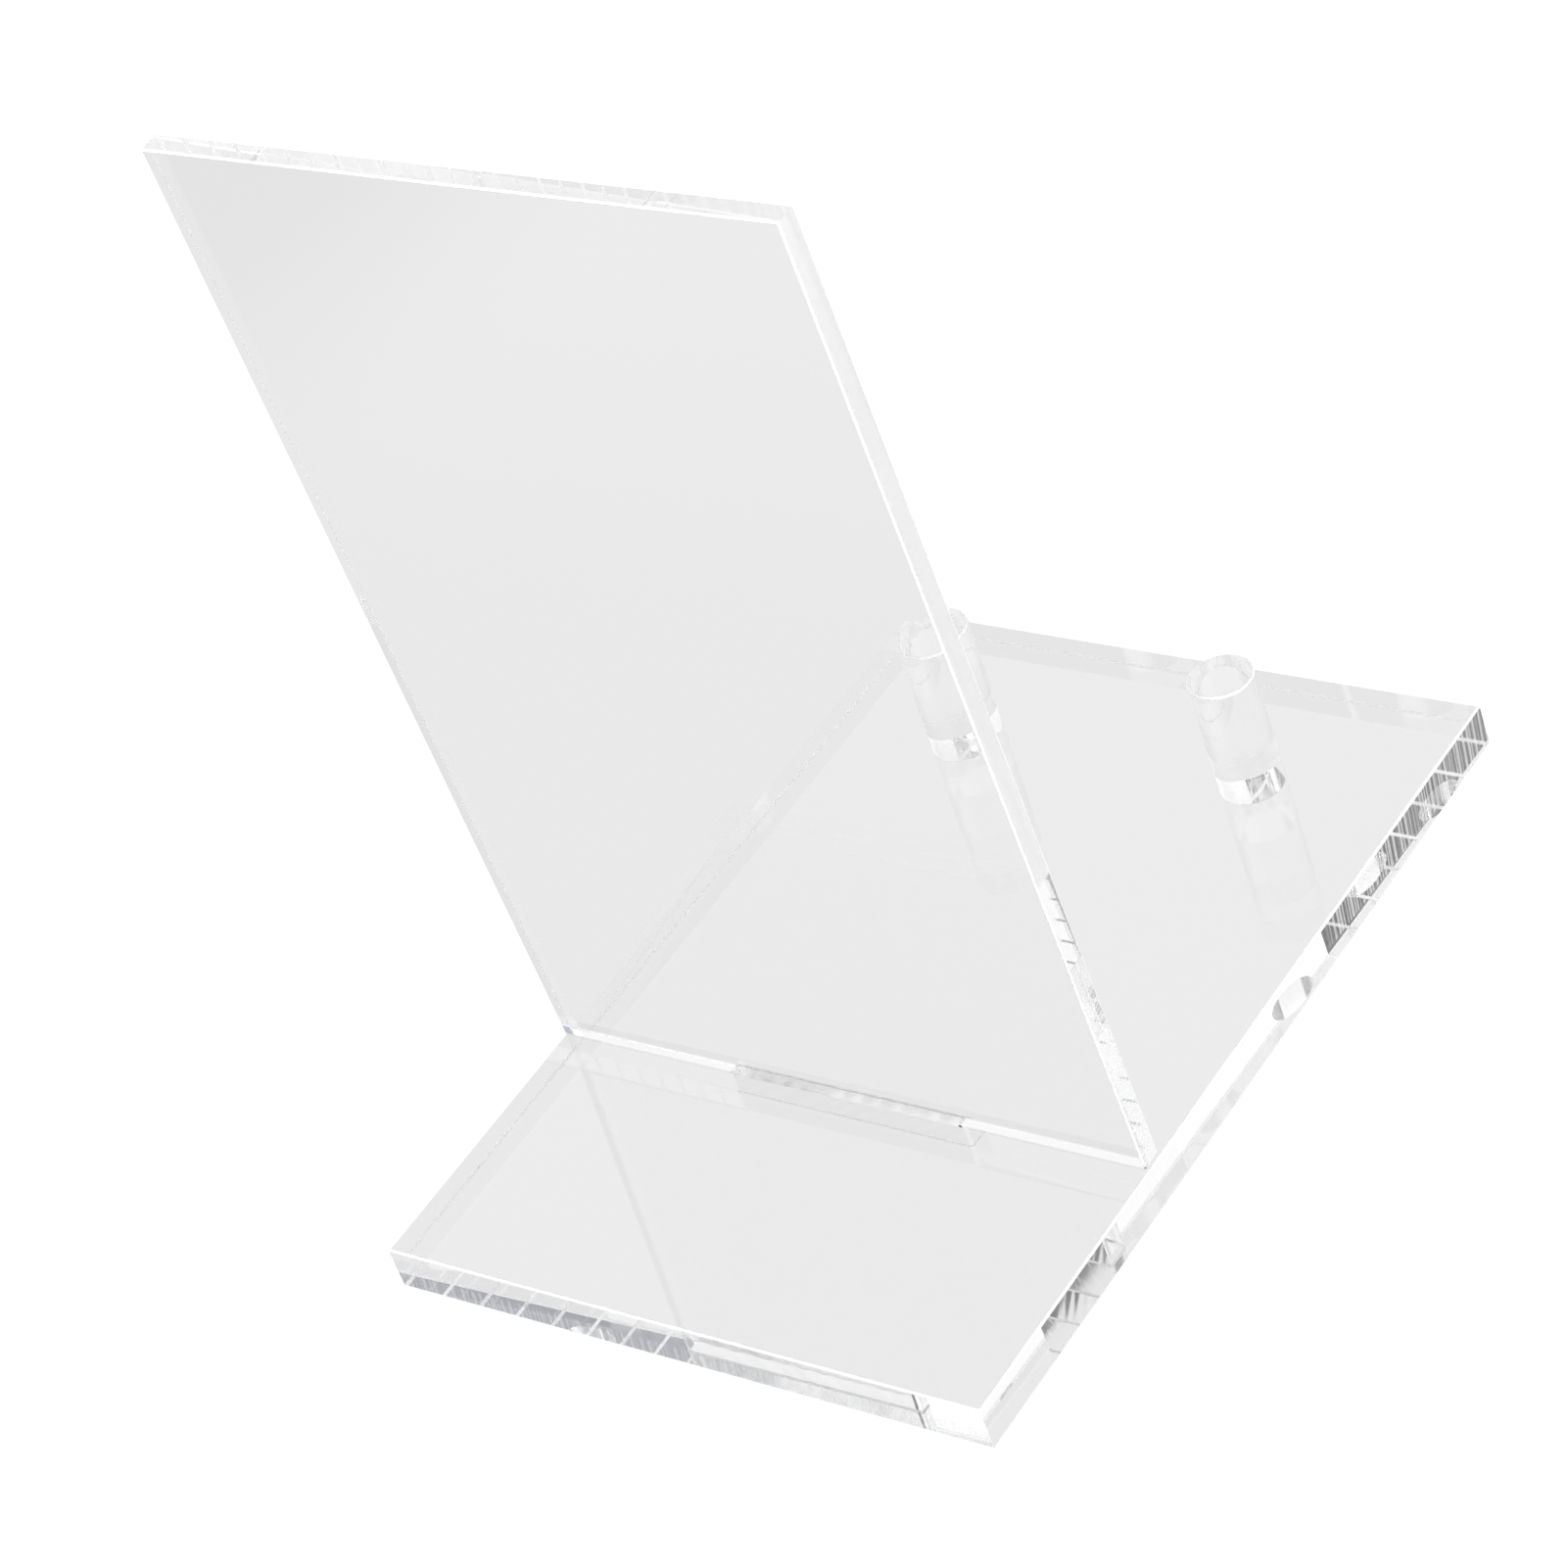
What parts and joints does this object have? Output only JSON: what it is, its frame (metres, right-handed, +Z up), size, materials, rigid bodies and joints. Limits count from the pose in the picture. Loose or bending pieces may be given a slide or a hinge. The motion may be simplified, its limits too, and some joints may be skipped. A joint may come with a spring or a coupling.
{
  "type": "book stand",
  "caption": "Free-standing clear acrylic book stand: a base plate, an upright back panel slotted into it and round pegs that stop the book's lower edge.",
  "frame": {"origin": "on the table, under the middle of the base plate", "axes": "+Z up, -Y towards the front, where the pegs and the book are, +X to the right as seen from the front"},
  "size_m": [0.14, 0.2, 0.2343],
  "materials": {
    "base_acrylic": "clear cast sheet, faces as cast, edges sawn",
    "panel_acrylic": "clear cast sheet, faces as cast, edges sawn",
    "peg_acrylic": "clear round rod, ends polished"
  },
  "bodies": {
    "base": {"base_plate": "base_acrylic", "left_peg": "peg_acrylic", "right_peg": "peg_acrylic"},
    "panel": {"back_panel": "panel_acrylic"}
  },
  "joints": [
    {"name": "panel_lift", "type": "slide", "parent": "base", "child": "panel", "axis": [0, 0.045, 0.999], "range_m": [0, 0.03]}
  ]
}
